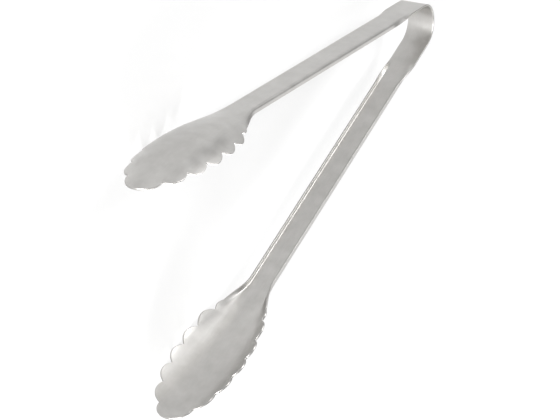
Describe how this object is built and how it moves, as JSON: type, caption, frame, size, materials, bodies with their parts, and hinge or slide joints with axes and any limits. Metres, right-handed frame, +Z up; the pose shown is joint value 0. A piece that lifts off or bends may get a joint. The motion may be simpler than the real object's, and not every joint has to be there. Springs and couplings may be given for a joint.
{
  "type": "spring loaded kitchen tongs",
  "caption": "One-piece spring tongs of formed stainless strip: a round sprung bow, two channelled arms and scalloped spoon-shaped claws that close on food.",
  "frame": {"origin": "centre of the object's box, at the bottom, lying on its side", "axes": "+X from the bow to the claws, +Y towards the left arm, +Z up, across the strip's width"},
  "size_m": [0.3004, 0.1356, 0.041],
  "materials": {
    "satin_stainless": "satin, fine grain along the strip"
  },
  "bodies": {
    "bow": {"bow_crown": "satin_stainless"},
    "left_shoulder": {"left_bow_shoulder": "satin_stainless"},
    "left_leaf": {"left_spring_leaf": "satin_stainless"},
    "left_jaw": {"left_fold_runout": "satin_stainless", "left_arm": "satin_stainless", "left_throat": "satin_stainless", "left_claw": "satin_stainless"},
    "right_shoulder": {"right_bow_shoulder": "satin_stainless"},
    "right_leaf": {"right_spring_leaf": "satin_stainless"},
    "right_jaw": {"right_fold_runout": "satin_stainless", "right_arm": "satin_stainless", "right_throat": "satin_stainless", "right_claw": "satin_stainless"}
  },
  "joints": [
    {"name": "left_bow_bend", "type": "hinge", "parent": "bow", "child": "left_shoulder", "pos_m": [-0.14758, 0.006, 0.02051], "axis": [0, 0, -1], "range_deg": [0, 4.27], "stiffness_Nm_per_rad": 22},
    {"name": "left_heel_bend", "type": "hinge", "parent": "left_shoulder", "child": "left_leaf", "pos_m": [-0.1397, 0.01173, 0.02051], "axis": [0, 0, -1], "range_deg": [0, 4.27], "stiffness_Nm_per_rad": 22},
    {"name": "left_leaf_bend", "type": "hinge", "parent": "left_leaf", "child": "left_jaw", "pos_m": [-0.12308, 0.0153, 0.02051], "axis": [0, 0, -1], "range_deg": [0, 4.27], "stiffness_Nm_per_rad": 22},
    {"name": "right_bow_bend", "type": "hinge", "parent": "bow", "child": "right_shoulder", "pos_m": [-0.14758, -0.006, 0.02051], "axis": [0, 0, 1], "range_deg": [0, 4.27], "stiffness_Nm_per_rad": 22},
    {"name": "right_heel_bend", "type": "hinge", "parent": "right_shoulder", "child": "right_leaf", "pos_m": [-0.1397, -0.01173, 0.02051], "axis": [0, 0, 1], "range_deg": [0, 4.27], "stiffness_Nm_per_rad": 22},
    {"name": "right_leaf_bend", "type": "hinge", "parent": "right_leaf", "child": "right_jaw", "pos_m": [-0.12308, -0.0153, 0.02051], "axis": [0, 0, 1], "range_deg": [0, 4.27], "stiffness_Nm_per_rad": 22}
  ],
  "couplings": [
    {"joint": "left_heel_bend", "follows": "left_bow_bend", "ratio": 1},
    {"joint": "left_leaf_bend", "follows": "left_bow_bend", "ratio": 1},
    {"joint": "right_bow_bend", "follows": "left_bow_bend", "ratio": 1},
    {"joint": "right_heel_bend", "follows": "left_bow_bend", "ratio": 1},
    {"joint": "right_leaf_bend", "follows": "left_bow_bend", "ratio": 1}
  ]
}
